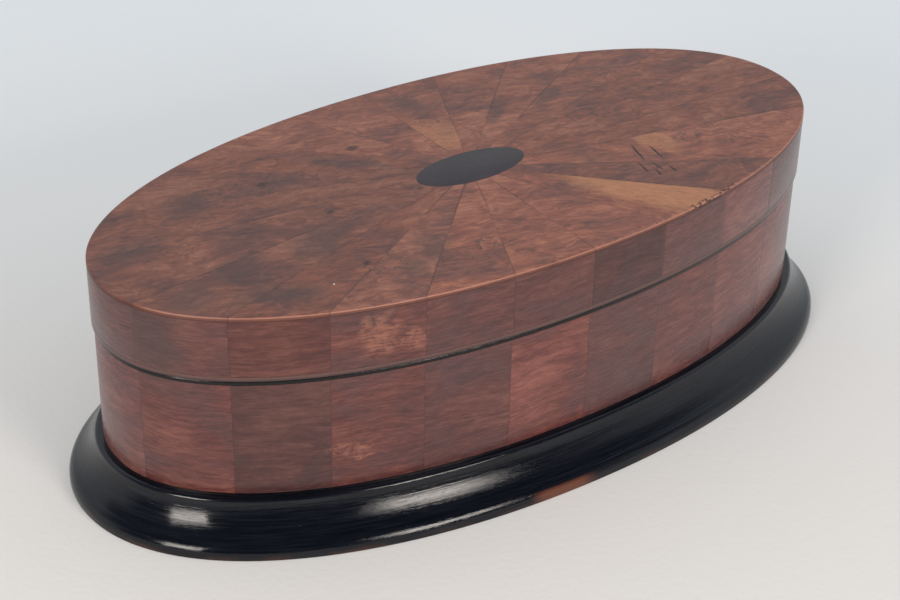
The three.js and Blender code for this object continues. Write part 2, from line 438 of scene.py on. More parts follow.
# %% Nodes for finishes
class Shading(Nodes):
    def stretch(self, vector, x, y, z):
        return self.vector("MULTIPLY", vector, (x, y, z))

    def noise(self, vector, scale, detail=3.0, rough=0.5, swirl=0.0):
        inputs = {"Vector": vector, "Scale": scale, "Detail": detail, "Roughness": rough, "Distortion": swirl}
        return self.add("ShaderNodeTexNoise", {}, inputs)

    def grain(self, vector, x, y, detail, rough, swirl=0.0):
        """Noise drawn out along x and y by their two scales."""
        return self.noise(self.stretch(vector, x, y, 1.0), 1.0, detail, rough, swirl)

    def push(self, vector, scale, amount):
        """The vector moved about by slow noise, as growth moves the grain in a burr."""
        drift = self.noise(vector, scale, 2.0).out("Color")
        centred = self.vector("SUBTRACT", drift, (0.5, 0.5, 0.5))
        return self.vector("MULTIPLY_ADD", centred, (amount, amount, amount), vector)

    def step(self, value, low, high):
        """0 up to low, 1 from high on, and eased between."""
        inputs = {"Value": value, "From Min": low, "From Max": high}
        return self.add("ShaderNodeMapRange", {"interpolation_type": "SMOOTHSTEP"}, inputs)

    def most(self, mask, *others):
        for other in others:
            mask = mask.math("MAXIMUM", other)
        return mask

    def ramp(self, value, stops):
        return self.add("ShaderNodeValToRGB", {"stops": stops}, {0: value})

    def mix(self, mask, first, second):
        first = (*first, 1) if isinstance(first, tuple) else first
        second = (*second, 1) if isinstance(second, tuple) else second
        return self.add("ShaderNodeMix", {"data_type": "RGBA"}, {0: mask, 6: first, 7: second}, output=2)

    def turn(self, vector, angle):
        inputs = {"Vector": vector, "Angle": angle}
        return self.add("ShaderNodeVectorRotate", {"rotation_type": "Z_AXIS"}, inputs)


# %% A material of one piece
class Finish(Shading):
    def __init__(self, name):
        self.material = bpy.data.materials.new(name)
        self.material.use_nodes = True
        self.material.node_tree.nodes.clear()
        super().__init__(self.material.node_tree)

    def position(self):
        """Object coordinates in millimetres."""
        place = self.add("ShaderNodeTexCoord").out("Object")
        return self.vector("MULTIPLY", place, (1000, 1000, 1000))

    def value(self, name):
        return self.add("ShaderNodeAttribute", {"attribute_name": name}).out("Fac")

    def tone(self):
        return self.split(self.add("ShaderNodeAttribute", {"attribute_name": "tone"}).out("Vector"))

    def finish(self, colour, roughness, height, depth, constants=None):
        bump = self.add("ShaderNodeBump", {}, {"Height": height, "Distance": depth})
        inputs = {"Base Color": colour, "Roughness": roughness, "Normal": bump, **(constants or {})}
        shader = self.add("ShaderNodeBsdfPrincipled", {}, inputs)
        self.add("ShaderNodeOutputMaterial", {}, {"Surface": shader})
        print("finish", self.material.name, len(self.tree.nodes), "nodes")
        return self.material


# %% [markdown]
# ## Leaves of veneer
#
# A log is sawn into thin leaves, and each strip is cut from one of a few leaves, so neighbouring
# strips differ in shade and in how red they are. Each leaf here is three numbers: how light it is, how
# warm, and how much grey has come through the polish. Strips 16 to 22 and 1 to 5 are the ones in the
# photograph, from left to right, and follow it. The ten at the back, which it doesn't show, are
# drawn from the same leaves in a fixed shuffle. On the top every ray shows, so all are listed.

# %% Leaves and how they are laid
LEAVES = {
    "bright": (1.14, 0.80, 0.00),
    "red": (0.95, 0.75, 0.05),
    "pink": (1.14, 0.40, 0.25),
    "brown": (0.93, 0.35, 0.20),
    # Lighter and greyer partly as painted sheen; laid only on strips at the ends of the front, where the wall
    # turns away
    "pale": (1.34, 0.40, 0.30),
    "grey": (0.98, 0.20, 0.60),
    "dark": (0.68, 0.35, 0.40),
    "deep": (0.76, 0.85, 0.05),
    "golden": (1.10, 1.00, 0.00),
    "fair": (1.10, 0.65, 0.10),
}
BACK = ["red", "brown", "pink", "red", "brown", "bright", "grey", "pink"]
BACK_STRIPS = range(6, 16)
FRONT_STRIPS = [*range(16, STRIPS + 1), *range(1, 6)]
# The pale strips at both ends of these two lists are partly painted sheen
WALL_FRONT = "pale pink red dark red brown bright grey pink pale pale pink".split()
BAND_FRONT = "pale grey brown deep red brown brown dark grey pale grey pink".split()
TOP = "bright golden brown bright red red red fair fair fair fair fair fair red".split()
TOP += "brown brown brown brown red pink bright bright".split()


def laid(front, seed):
    chooser = random.Random(seed)
    leaves = {i: chooser.choice(BACK) for i in BACK_STRIPS}
    leaves.update(zip(FRONT_STRIPS, front))
    return [leaves[i + 1] for i in range(STRIPS)]


def write_tones(piece, leaves):
    """Writes each strip's leaf on its points, for the finish to read."""
    strips = [0.0] * len(piece.data.vertices)
    piece.data.attributes["strip"].data.foreach_get("value", strips)
    tones = piece.data.attributes.new("tone", "FLOAT_VECTOR", "POINT")
    tones.data.foreach_set("vector", [v for strip in strips for v in LEAVES[leaves[round(strip)]]])


wall_leaves = laid(WALL_FRONT, 4)
band_leaves = laid(BAND_FRONT, 9)
print("wall, from the front middle:", ", ".join(wall_leaves))


# %% [markdown]
# ## Placed marks
#
# Noise makes the even figure of the wood, but a stain or a knot that someone would recognise has its
# own place. Such marks are short lists of soft ovals, in millimetres, and their outlines are broken by
# pushing the position about with noise before it is measured.

# %% Soft ovals
def marks(f, place, places, soft):
    """One mask for a list of ovals: x, y, length, width and turn in degrees."""
    mask = 0.0
    for x, y, length, width, turn in places:
        away = f.vector("SUBTRACT", place, (x, y, 0))
        turned = f.turn(away, -math.radians(turn))
        size = f.measure("LENGTH", f.stretch(turned, 2 / length, 2 / width, 0))
        mask = f.most(f.step(size, 1 + soft, 1 - soft), mask)
    return mask


# %% [markdown]
# ## Finish: figured wall veneer
#
# The strips are cut across, so the grain lies level round the box: fine streaks a few tenths of a
# millimetre high and a centimetre or two long. Over that lie slow clouds of shade, tiny pores and a thin
# line of glue and dirt in each seam. Just under the lid's worn rim lies a darker band of painted shadow.
# Two places are mottled with orange and one is olive, as in the photograph. The polish is old and half
# bright, so the sheen breaks up with the grain and the surface is not quite flat.

# %% Wall veneer
GREY = (0.098, 0.056, 0.056)
ORANGE = (0.38, 0.165, 0.105)
OLIVE = (0.052, 0.042, 0.038)
DIRT = (0.030, 0.016, 0.014)
# Colour of the painted shadow under the lid's rim
RIM_SHADOW = (0.060, 0.017, 0.013)
# How far apart two strips lie in the noise, so that they share no figure
WALL_LEAVES_APART = 31.7

WALL_RED = [(0.22, (0.065, 0.023, 0.024)), (0.50, (0.115, 0.037, 0.033)), (0.80, (0.181, 0.065, 0.052))]
WALL_BROWN = [(0.22, (0.060, 0.027, 0.028)), (0.50, (0.101, 0.039, 0.036)), (0.80, (0.154, 0.064, 0.054))]

# Ovals whose first number is how far round the box they lie, and the second their height
ROUND = STRIP_LENGTH / MM
MOTTLED_PLACES = [(19.52 * ROUND, 78, 14, 16, 0), (19.85 * ROUND, 74, 10, 9, 0)]
MOTTLED_PLACES += [(19.20 * ROUND, 34, 17, 4, 0), (19.30 * ROUND, 30, 9, 3, 0)]
OLIVE_PLACES = [(17.25 * ROUND, 76, 17, 30, 0)]


def wall_finish():
    f = Finish("wall_veneer")
    place = f.position()
    _, _, height = f.split(place)
    along = f.value("along") * 1000
    strip = f.value("strip")
    light, warm, grey = f.tone()
    leaf = f.combine(along, height, strip * WALL_LEAVES_APART)
    wander = f.push(f.push(leaf, 0.04, 5.0), 0.3, 0.5)
    fibre = f.grain(wander, 0.18, 1.35, 5.0, 0.68)
    streak = f.grain(wander, 0.045, 0.45, 5.0, 0.62)
    cloud = f.grain(leaf, 0.035, 0.06, 3.0, 0.5, 0.5)
    mottle = f.noise(wander, 0.20, 4.0, 0.6, 0.8)
    figure = (streak * 0.50 + cloud * 0.65 + fibre * 0.25 - 0.70) * 1.5 + 0.5
    body = f.mix(warm, f.ramp(figure, WALL_BROWN), f.ramp(figure, WALL_RED))
    ashen = f.step(cloud, 0.52, 0.38)
    body = f.mix(grey * 0.6 + ashen * 0.30, body, GREY)
    body = f.scale(body, light * (0.23 + fibre * 1.05 + streak * 0.35 + mottle * 0.15))
    stained = f.push(f.combine(along, height, 0.0), 0.15, 8.0)
    orange = marks(f, stained, MOTTLED_PLACES, 0.4) * f.step(mottle * 0.6 + fibre * 0.4, 0.42, 0.60)
    body = f.mix(orange * 0.42, body, ORANGE)
    body = f.mix(marks(f, stained, OLIVE_PLACES, 0.8) * 0.40, body, OLIVE)
    pore = f.step(f.grain(leaf, 0.35, 2.0, 2.0, 0.7), 0.66, 0.76)
    body = f.mix(pore * 0.30, body, DIRT)
    seam = f.step(f.value("seam") * 1000, 0.30, 0.05) * f.step(cloud, 0.40, 0.60)
    body = f.mix(seam * 0.35, body, DIRT)
    # Painted shadow: a darker band on the lid's band just below the top's rim
    rim_shadow = f.step(height, LID_TOP / MM - 2.4, LID_TOP / MM - 1.2)
    body = f.mix(rim_shadow * (0.75 - mottle * 0.5), body, RIM_SHADOW)
    roughness = 0.20 + fibre * 0.14 + pore * 0.12
    relief = fibre * 0.15 + f.noise(leaf, 0.09, 2.0) * 0.9 - pore * 0.12
    return f.finish(body, roughness, relief, 0.00016, {"IOR": 1.44})


wall_veneer = wall_finish()

# %% [markdown]
# ## Finish: burr figured top
#
# The rays are cut from a livelier part of the log. The grain runs roughly along the box but is pushed
# about by the burr, with clouds, curls, small eyes, smoky patches and a golden ray. The edge is rubbed
# pale in front, which is partly wear and partly a painted highlight along the rounded arris, and it is
# chipped and pecked further right. Below the rounded edge a dark line is painted shadow. All that has a
# place of its own, down to six short cuts and a speck of paint, is listed here in millimetres from the
# middle of the lid.

# %% Placed marks on the top
GOLD = (0.47, 0.212, 0.102)
SMOKE = (0.060, 0.040, 0.038)
# Pale pinkish rim colour: wear and chips, and partly a painted highlight on the front arris
RUBBED_AND_GLINT = (0.46, 0.215, 0.160)
PAINT = (0.75, 0.72, 0.68)

GOLDEN_PATCHES = [(5, 27, 24, 22, 80), (44, -47, 66, 26, -58), (70, -20, 24, 12, -70)]
SMOKY_PATCHES = [
    (-75, -15, 26, 15, 30), (-107, -16, 20, 14, 30), (-130, -24, 22, 16, 40), (60, 31, 22, 7, 30),
    (9, 56, 12, 16, 10), (33, 29, 16, 5, 40), (-100, 32, 20, 12, 20), (-36, 28, 34, 7, -42),
    (-45, -40, 20, 11, 60), (-104, -38, 28, 12, -20), (-132, 14, 26, 14, 10), (-58, -48, 14, 9, 70),
]
BURRS = [
    (89, -25, 24, 12, 10), (97, -37, 14, 10, 40), (64, 11, 32, 10, -10), (-88, 33, 22, 16, 0),
    (-71, 28, 16, 9, 0), (-67, -40, 24, 18, 30), (33, 39, 24, 14, 0), (9, 39, 16, 12, 0),
    (-30, -50, 20, 12, 30),
]
EYES = [(-70, 30, 5, 3, 0), (-28, 36, 5, 3, 0), (-25, -3.5, 2.6, 1.6, 0)]
EYES += [(-61, -0.5, 3.4, 2.2, 20), (-70, -37, 3, 2, 30)]
PAINT_SPECK = (-86.3, -42.2, 0.9, 0.6, 40)
CHIPPED_EDGE = (45, -66, 84, 18, 10)
PECKED_EDGE = (58, -66.5, 26, 14, 12)
CUTS = [
    (58.1, -25.2, 12.3, 0.9, 72), (64.2, -28.7, 9.7, 0.9, 77), (52.1, -35.7, 8.4, 0.7, 78),
    (57.3, -37.8, 6.5, 0.8, 85), (54.2, -41.8, 4.1, 1.0, 76), (60.5, -42.5, 4.3, 0.9, 81),
]


# %% Top veneer
TOP_RED = [(0.20, (0.116, 0.040, 0.031)), (0.50, (0.236, 0.080, 0.051)), (0.80, (0.360, 0.145, 0.088))]
TOP_BROWN = [(0.20, (0.104, 0.042, 0.034)), (0.50, (0.204, 0.077, 0.053)), (0.80, (0.310, 0.134, 0.088))]
GRAIN_TURN = math.radians(15)
GOLDEN_GRAIN_TURN = math.radians(48)
# The first is golden all along, the others only in a patch
GOLD_RAYS = (1.0, 3.0, 10.0)
TOP_LEAVES_APART = 23.3


def top_finish():
    f = Finish("top_veneer")
    place = f.position()
    x, y, z = f.split(place)
    strip = f.value("strip")
    rim = f.value("rim") * 1000
    light, warm, grey = f.tone()
    golden_ray, *gold_tipped = [f.math("COMPARE", strip, ray, 0.5) for ray in GOLD_RAYS]
    turn = GRAIN_TURN + golden_ray * (GOLDEN_GRAIN_TURN - GRAIN_TURN) + (strip * 2.4).math("SINE") * 0.08
    flat = f.combine(x, y, 0.0)
    leaf = f.vector("ADD", f.turn(flat, turn), f.combine(0.0, 0.0, strip * TOP_LEAVES_APART))
    swirl = f.push(f.push(leaf, 0.045, 12.0), 0.15, 2.5)
    fibre = f.grain(swirl, 0.15, 1.00, 5.0, 0.68)
    flame = f.grain(swirl, 0.045, 0.28, 5.0, 0.62)
    cloud = f.grain(leaf, 0.032, 0.055, 3.0, 0.5, 0.6)
    curl = f.grain(swirl, 0.12, 0.20, 5.0, 0.62, 1.0)
    figure = (flame * 0.50 + cloud * 0.55 + fibre * 0.25 - 0.65) * 1.5 + 0.5
    body = f.mix(warm, f.ramp(figure, TOP_BROWN), f.ramp(figure, TOP_RED))
    ashen = f.step(cloud * 0.7 + curl * 0.3, 0.50, 0.38)
    body = f.mix(grey * 0.35 + ashen * 0.30, body, GREY)
    body = f.scale(body, light * (0.05 + fibre * 1.25 + flame * 0.40 + curl * 0.25))
    ragged = f.push(flat, 0.12, 9.0)
    gold = marks(f, ragged, GOLDEN_PATCHES, 0.3) * f.most(golden_ray, *gold_tipped)
    body = f.mix(gold * (0.50 + golden_ray * 0.25), body, f.scale(GOLD, 0.45 + fibre * 1.15))
    contour = (f.noise(f.push(flat, 0.25, 3.0), 0.16, 3.0) * 4.5).math("PINGPONG", 0.5)
    body = f.mix(marks(f, ragged, BURRS, 0.5) * f.step(contour, 0.14, 0.02) * 0.7, body, SMOKE)
    body = f.mix(marks(f, ragged, SMOKY_PATCHES, 0.6) * curl, body, SMOKE)
    pore = f.step(f.grain(leaf, 0.45, 1.8, 2.0, 0.7), 0.66, 0.77)
    cuts = marks(f, f.push(flat, 0.30, 1.0), CUTS, 0.5)
    eyes = marks(f, f.push(flat, 0.5, 1.2), EYES, 0.5) * 0.75
    seam_strength = f.step(f.noise(leaf, 0.035, 1.0), 0.42, 0.62)
    seam = f.step(f.value("seam") * 1000, 0.45, 0.1) * (0.05 + seam_strength * 0.5)
    chips = f.noise(place, 0.7, 4.0, 0.7)
    # Where the pale rim line shows, stronger in front: partly wear, partly a painted highlight on the arris
    front = f.step(y, -8.0, -40.0)
    wear_and_glint_reach = f.step(f.noise(place, 0.035, 2.0) + front * 0.4, 0.62, 0.80)
    rubbed_and_glint = f.step(rim + chips * 0.6, 0.85, 0.60) * wear_and_glint_reach
    chipped = marks(f, flat, [CHIPPED_EDGE], 0.5) * f.step(rim + chips * 6.0, 4.3, 3.3)
    pecked = marks(f, flat, [PECKED_EDGE], 0.3)
    nicks = pecked * f.step(f.noise(place, 0.7, 2.0), 0.50, 0.57) * f.step(rim, 2.6, 1.4)
    body = f.mix(f.most(rubbed_and_glint, chipped) * 0.6, body, RUBBED_AND_GLINT)
    # Painted shadow: the lower part of the top's rounded edge and its side are darkened, as under the rim
    body = f.mix(f.step(z, LID_TOP / MM - 0.20, LID_TOP / MM - 0.45) * 0.75, body, RIM_SHADOW)
    body = f.mix(f.most(pore * 0.3, eyes, seam, nicks * 0.8, cuts), body, DIRT)
    body = f.mix(marks(f, flat, [PAINT_SPECK], 0.4), body, PAINT)
    roughness = 0.33 + fibre * 0.16 + pore * 0.12
    relief = fibre * 0.25 + f.noise(leaf, 0.05, 2.0) * 0.7 - pore * 0.12 - (cuts + nicks) * 0.6
    return f.finish(body, roughness, relief, 0.0003, {"IOR": 1.38})


top_veneer = top_finish()


# %% [markdown]
# ## Finish: ebonised foot
#
# Ebonising is a black stain under a bright polish. It was rubbed along the moulding, so the gloss lies
# in rows that way, and it has worn to bare wood at one place in front. The low upright edge is painted
# brown in patches, partly as wear and partly as a painted reflection of the floor. The rows need a
# pattern that follows the moulding. The sweep left the distance outwards on each point, and that
# distance less the height grows steadily from the wall down to the floor.

# %% Ebonised wood
DEEP_BLACK = (0.0025, 0.0033, 0.0060)
WORN_BLACK = (0.0065, 0.0080, 0.0125)
# Brown for the upright edge: partly wear, partly a painted reflection of the floor
EDGE_WEAR_AND_REFLECTION = (0.050, 0.020, 0.013)
BARE_WOOD = (0.11, 0.038, 0.022)
BARE_PLACE = (-17.0, -83.0, 3.0)


def ebonised_finish():
    f = Finish("ebonised_wood")
    place = f.position()
    x, y, z = f.split(place)
    girth = f.value("out") * 1000 - z
    streak = f.noise(f.combine(x * 0.05, y * 0.05, girth * 1.1), 1.0, 3.0, 0.55)
    rows = f.step(f.noise(f.combine(x * 0.04, y * 0.04, girth * 1.9), 1.0, 2.0, 0.6), 0.46, 0.64)
    fine = f.noise(f.combine(x * 0.3, y * 0.3, girth * 4.5), 1.0, 3.0, 0.6)
    patch = f.noise(place, 0.06, 3.0, 0.5)
    speck = f.step(f.noise(place, 0.9, 2.0, 0.6), 0.72, 0.78)
    body = f.mix(f.step(streak, 0.35, 0.70), DEEP_BLACK, WORN_BLACK)
    # Browner patches low on the upright edge: partly wear, partly a painted reflection of the floor
    edge = f.step(z, 2.6, 0.8) * f.step(patch + streak * 0.3, 0.58, 0.80)
    body = f.mix(edge * 0.6, body, EDGE_WEAR_AND_REFLECTION)
    bare = f.measure("DISTANCE", place, BARE_PLACE)
    body = f.mix(f.step(bare + patch * 10, 21.0, 11.0) * f.step(z, 4.6, 3.2), body, BARE_WOOD)
    roughness = 0.03 + rows * 0.13 + fine * 0.04 + speck * 0.2 + edge * 0.1
    relief = streak * 0.8 + fine * 0.35 - speck * 0.4
    return f.finish(body, roughness, relief, 0.00007, {"IOR": 1.41})


ebonised_wood = ebonised_finish()


# %% [markdown]
# ## Finishes: black lines, dark inlay and the plain timber inside
#
# The thin lines are dyed wood under the same polish. Below the joint the line is still black, and
# thinner towards the right end. Above it, on the lid, the dye has faded to the veneer's brown. The inlay
# is a denser dark wood with a bluish cast and fine close grain. The timber that only shows with the lid
# off is plain: planed, reddish brown, with long level grain and no gloss.

# %% Black stringing
JOINT = 64.0
LINE_DARK = (0.003, 0.003, 0.004)
LINE_LIGHT = (0.010, 0.008, 0.008)
FADED_DARK = (0.042, 0.028, 0.029)
FADED_LIGHT = (0.115, 0.062, 0.056)


def stringing_finish():
    f = Finish("black_stringing")
    place = f.position()
    x, y, z = f.split(place)
    grain = f.noise(f.combine(x * 0.15, y * 0.15, z * 2.5), 1.0, 4.0, 0.6)
    rub = f.noise(place, 0.12, 3.0, 0.6)
    black = f.mix(grain, LINE_DARK, LINE_LIGHT)
    faded = f.mix(f.step(z + rub * 0.8, JOINT + 0.6, JOINT + 2.2), FADED_DARK, FADED_LIGHT)
    black = f.mix(f.step(z, JOINT - 0.45, JOINT - 0.75) * f.step(x, -10.0, 60.0) * 0.9, black, faded)
    body = f.mix(f.step(z, JOINT, JOINT + 0.2), black, faded)
    return f.finish(body, 0.10 + grain * 0.14, grain, 0.00008, {"IOR": 1.38})


# %% Dark inlay
INLAY_DARK = (0.018, 0.013, 0.017)
INLAY_LIGHT = (0.062, 0.048, 0.056)
INLAY_PORE = (0.008, 0.008, 0.010)


def inlay_finish():
    f = Finish("ebony_inlay")
    place = f.position()
    fibre = f.noise(f.stretch(f.push(place, 0.08, 2.0), 0.25, 3.0, 1.0), 1.0, 5.0, 0.65)
    cloud = f.noise(place, 0.12, 2.0)
    body = f.mix(fibre * 0.6 + cloud * 0.4, INLAY_DARK, INLAY_LIGHT)
    pore = f.step(f.grain(place, 0.7, 3.5, 2.0, 0.7), 0.64, 0.72)
    body = f.mix(pore * 0.5, body, INLAY_PORE)
    return f.finish(body, 0.34 + fibre * 0.14, fibre * 0.6 - pore, 0.00015, {"IOR": 1.36})


# %% Plain timber
TIMBER_PORE = (0.030, 0.014, 0.008)


def timber_finish(name, pale, dark, roughness):
    f = Finish(name)
    x, y, z = f.split(f.position())
    drift = f.push(f.combine(x, y, z), 0.02, 9.0)
    rings = f.noise(f.stretch(drift, 0.012, 0.12, 0.35), 1.0, 3.0, 0.5)
    fibre = f.noise(f.stretch(drift, 0.06, 1.6, 1.6), 1.0, 5.0, 0.65)
    pore = f.step(f.noise(f.stretch(drift, 0.15, 2.6, 2.6), 1.0, 2.0, 0.7), 0.64, 0.72)
    body = f.mix(f.step(rings * 0.7 + fibre * 0.5, 0.35, 0.85), dark, pale)
    body = f.mix(pore * 0.5, body, TIMBER_PORE)
    return f.finish(body, roughness + fibre * 0.15, fibre - pore, 0.0002, {"IOR": 1.45})


black_stringing = stringing_finish()
ebony_inlay = inlay_finish()
carcass_wood = timber_finish("carcass_wood", (0.34, 0.175, 0.092), (0.20, 0.095, 0.048), 0.55)
liner_wood = timber_finish("liner_wood", (0.205, 0.082, 0.042), (0.105, 0.040, 0.022), 0.42)


# %% [markdown]
# ## The wall strips and the lid's band
#
# One blank serves both: a thin board with its arrises just broken, so each seam catches a hair of
# light and shadow. It is cut across into many slices first, because only existing points can bend.

# %% Bend the strips
STRIP_SLICES = 28
ARRIS = 0.03 * MM


def strip_blank(name, outside, low, high):
    work = bmesh.new()
    bmesh.ops.create_cube(work, size=1)
    size = Vector((STRIP_LENGTH - SEAM, VENEER, high - low))
    middle = Vector((STRIP_LENGTH / 2, VENEER / 2 - outside, (low + high) / 2))
    bmesh.ops.transform(work, matrix=Matrix.LocRotScale(middle, None, size), verts=work.verts)
    bmesh.ops.bevel(work, geom=work.edges[:], offset=ARRIS, segments=2, profile=0.6, affect="EDGES")
    for i in range(1, STRIP_SLICES):
        cut = Vector((SEAM / 2 + (STRIP_LENGTH - SEAM) * i / STRIP_SLICES, 0, 0))
        everything = work.verts[:] + work.edges[:] + work.faces[:]
        bmesh.ops.bisect_plane(work, geom=everything, plane_co=cut, plane_no=(1, 0, 0))
    return plain_mesh(work, name)


def strips(name, outside, low, high, leaves):
    blank = strip_blank(name, outside, low, high)
    piece = grow(name, blank, BENT_STRIPS, wall_veneer, Strips=STRIPS)
    write_tones(piece, leaves)
    smooth(piece)
    return piece


wall_strips = strips("wall_strips", distance_out(wall_line_high), wall_low.z, wall_high.z, wall_leaves)
lid_band = strips("lid_band_strips", 0.0, band_low.z, band_high.z, band_leaves)

# %% [markdown]
# ## The top
#
# The blank for a ray is a small grid of faces closed into a solid: a bottom, a top with extra rows
# near the rim, and the worn outer edge, a quarter circle between them. The dark oval is a disc of its
# own, let in flush.

# %% Lay the rays and the inlay
WORN_EDGE = 0.5 * MM
WIDE_RAY = 3.0
WIDER_BY = 16 * MM
EDGE_STEPS = 5
RAY_COLUMNS = 24
INLAY_SIDES = 160
RAY_ROWS = [0.0, 0.008, 0.02, 0.05, 0.1, 0.18, 0.28, 0.4, 0.55, 0.7, 0.85, 1.0]


def ray_blank(name, low, high):
    """One closed loop of points, from the bottom at the inlay out and back over the top, across the ray."""
    loop = [(1.0, low), (0.0, low), (-WORN_EDGE, low)]
    for i in range(EDGE_STEPS + 1):
        angle = math.pi / 2 * i / EDGE_STEPS
        loop.append((-WORN_EDGE * math.cos(angle), high - WORN_EDGE * (1 - math.sin(angle))))
    loop += [(row, high) for row in RAY_ROWS[1:]]
    work = bmesh.new()
    columns = []
    for i in range(RAY_COLUMNS + 1):
        columns.append([work.verts.new((i / RAY_COLUMNS, y, z)) for y, z in loop])
    for left, right in zip(columns, columns[1:]):
        for i in range(len(loop)):
            work.faces.new((right[i - 1], right[i], left[i], left[i - 1]))
    work.faces.new(columns[0])
    work.faces.new(columns[-1][::-1])
    return plain_mesh(work, name)


inlay_size = inlay_high - inlay_low
ray_sizes = dict(zip(RAY_SIZES, (SEAM, WORN_EDGE, inlay_size.x, inlay_size.y, WIDE_RAY, WIDER_BY)))
blank = ray_blank("top_rays", top_low.z, top_high.z)
top_rays = grow("top_rays", blank, RAYS, top_veneer, Strips=STRIPS, **ray_sizes)
write_tones(top_rays, TOP)
smooth(top_rays)


def inlay_disc(name, low, high):
    work = bmesh.new()
    bmesh.ops.create_circle(work, cap_ends=True, radius=0.5, segments=INLAY_SIDES)
    made = bmesh.ops.extrude_face_region(work, geom=work.faces[:])
    raised = [v for v in made["geom"] if isinstance(v, bmesh.types.BMVert)]
    bmesh.ops.translate(work, vec=(0, 0, 1), verts=raised)
    placed = Matrix.LocRotScale(Vector((0, 0, low.z)), None, high - low)
    bmesh.ops.transform(work, matrix=placed, verts=work.verts)
    edge = [e for e in work.edges if all(v.co.z > high.z - ARRIS for v in e.verts)]
    bmesh.ops.bevel(work, geom=edge, offset=ARRIS, segments=2, profile=0.5, affect="EDGES")
    bmesh.ops.recalc_face_normals(work, faces=work.faces)
    mesh = plain_mesh(work, name)
    mesh.materials.append(ebony_inlay)
    return add_object(name, mesh)


inlay = inlay_disc("inlay_disc", inlay_low, inlay_high)
smooth(inlay)


# %% [markdown]
# ## The foot moulding
#
# From the wall outwards: a narrow flat fillet, a bead like half a cord, a wide hollow, and a rounded
# nosing that the hollow runs smoothly into. The section is drawn with arcs and one smooth curve, swept
# round, and then closed above and below with flat faces.

# %% Sections
def arc(out, height, radius, start, end, steps):
    """Points of an arc, with angles in degrees measured up from straight out."""
    angles = [math.radians(start + (end - start) * i / steps) for i in range(steps + 1)]
    return [(out + radius * math.cos(a), height + radius * math.sin(a)) for a in angles]


def smooth_curve(start, first_pull, second_pull, end, steps):
    points = []
    for i in range(1, steps):
        t = i / steps
        weights = ((1 - t) ** 3, 3 * t * (1 - t) ** 2, 3 * t * t * (1 - t), t ** 3)
        corners = (start, first_pull, second_pull, end)
        points.append(tuple(sum(w * c[axis] for w, c in zip(weights, corners)) for axis in (0, 1)))
    return points


def section_curve(name, points, closed):
    """A section as a curve. The sweep lays its x outwards and its y downwards."""
    curve = bpy.data.curves.new(name, "CURVE")
    curve.dimensions = "3D"
    line = curve.splines.new("POLY")
    line.points.add(len(points) - 1)
    for point, (out, height) in zip(line.points, points):
        point.co = (out, -height, 0, 1)
    line.use_cyclic_u = closed
    return curve


def ring(name, points, material, closed=True):
    return grow(name, section_curve(name, points, closed), RINGS, material, Steps=RING_STEPS)


# %% Sweep the foot
FOOT_OUT = distance_out(foot_high)
WALL_OUT = distance_out(wall_line_high)
FILLET_WIDTH = 1.0 * MM
FILLET_STEP = 0.4 * MM
BEAD_RADIUS = 1.5 * MM
BEAD_QUIRK = 0.7 * MM
HOLLOW_START_SLOPE = math.radians(76)
HOLLOW_START_PULL = 4.8 * MM
HOLLOW_END_PULL = 4.8 * MM
NOSING_RADIUS = 5.0 * MM
NOSING_LEVEL = 1.3 * MM
NOSING_TURN = 55
FOOT_CHAMFER = 0.2 * MM
NOSING_STEPS = 14
BEAD_STEPS = 10
HOLLOW_STEPS = 24


def foot_section():
    fillet = WALL_OUT + FILLET_WIDTH
    bead = fillet + BEAD_QUIRK
    bead_top = foot_high.z - FILLET_STEP
    bead_level = bead_top - BEAD_RADIUS
    nosing = arc(FOOT_OUT - NOSING_RADIUS, NOSING_LEVEL, NOSING_RADIUS, NOSING_TURN, 0, NOSING_STEPS)
    start = (bead + BEAD_RADIUS, bead_level)
    end = nosing[0]
    turn = math.radians(NOSING_TURN)
    steep = (
        start[0] + HOLLOW_START_PULL * math.cos(HOLLOW_START_SLOPE),
        start[1] - HOLLOW_START_PULL * math.sin(HOLLOW_START_SLOPE),
    )
    flat = (end[0] - HOLLOW_END_PULL * math.sin(turn), end[1] + HOLLOW_END_PULL * math.cos(turn))
    points = [(fillet, foot_high.z), (fillet, bead_top)]
    points += arc(bead, bead_level, BEAD_RADIUS, 90, 0, BEAD_STEPS)
    points += smooth_curve(start, steep, flat, end, HOLLOW_STEPS)
    return points + nosing + [(FOOT_OUT, FOOT_CHAMFER), (FOOT_OUT - FOOT_CHAMFER, 0.0)]


foot = ring("foot_moulding", foot_section(), ebonised_wood, closed=False)
close_ends(foot)
smooth(foot, 40)

# %% [markdown]
# ## Rings inside and between
#
# The two black lines have rounded edges that catch a thin light at the joint. The wall timber, the
# lid's rim timber and the lining only show with the lid lifted. The lining's top edge is rounded on both
# sides, so that the lid slides down over it.

# %% Sweep the rings
CORNER_STEPS = 4


def rounded(out, thickness, low, high, top_radius, foot_radius):
    """A section with rounded corners, drawn over the top and down the outside."""
    inner = out - thickness
    points = arc(inner + top_radius, high - top_radius, top_radius, 180, 90, CORNER_STEPS)
    points += arc(out - top_radius, high - top_radius, top_radius, 90, 0, CORNER_STEPS)
    points += arc(out - foot_radius, low + foot_radius, foot_radius, 0, -90, CORNER_STEPS)
    points += arc(inner + foot_radius, low + foot_radius, foot_radius, -90, -180, CORNER_STEPS)
    return points


def plain_ring(name, low, high, thickness, material, top_mm, foot_mm):
    """A ring between two heights, with the radii of its upper and lower corners in millimetres."""
    points = rounded(distance_out(high), thickness, low.z, high.z, top_mm * MM, foot_mm * MM)
    piece = ring(name, points, material)
    smooth(piece)
    return piece


CARCASS = 7.0 * MM
LID_RIM = 7.5 * MM
LINER = 2.6 * MM

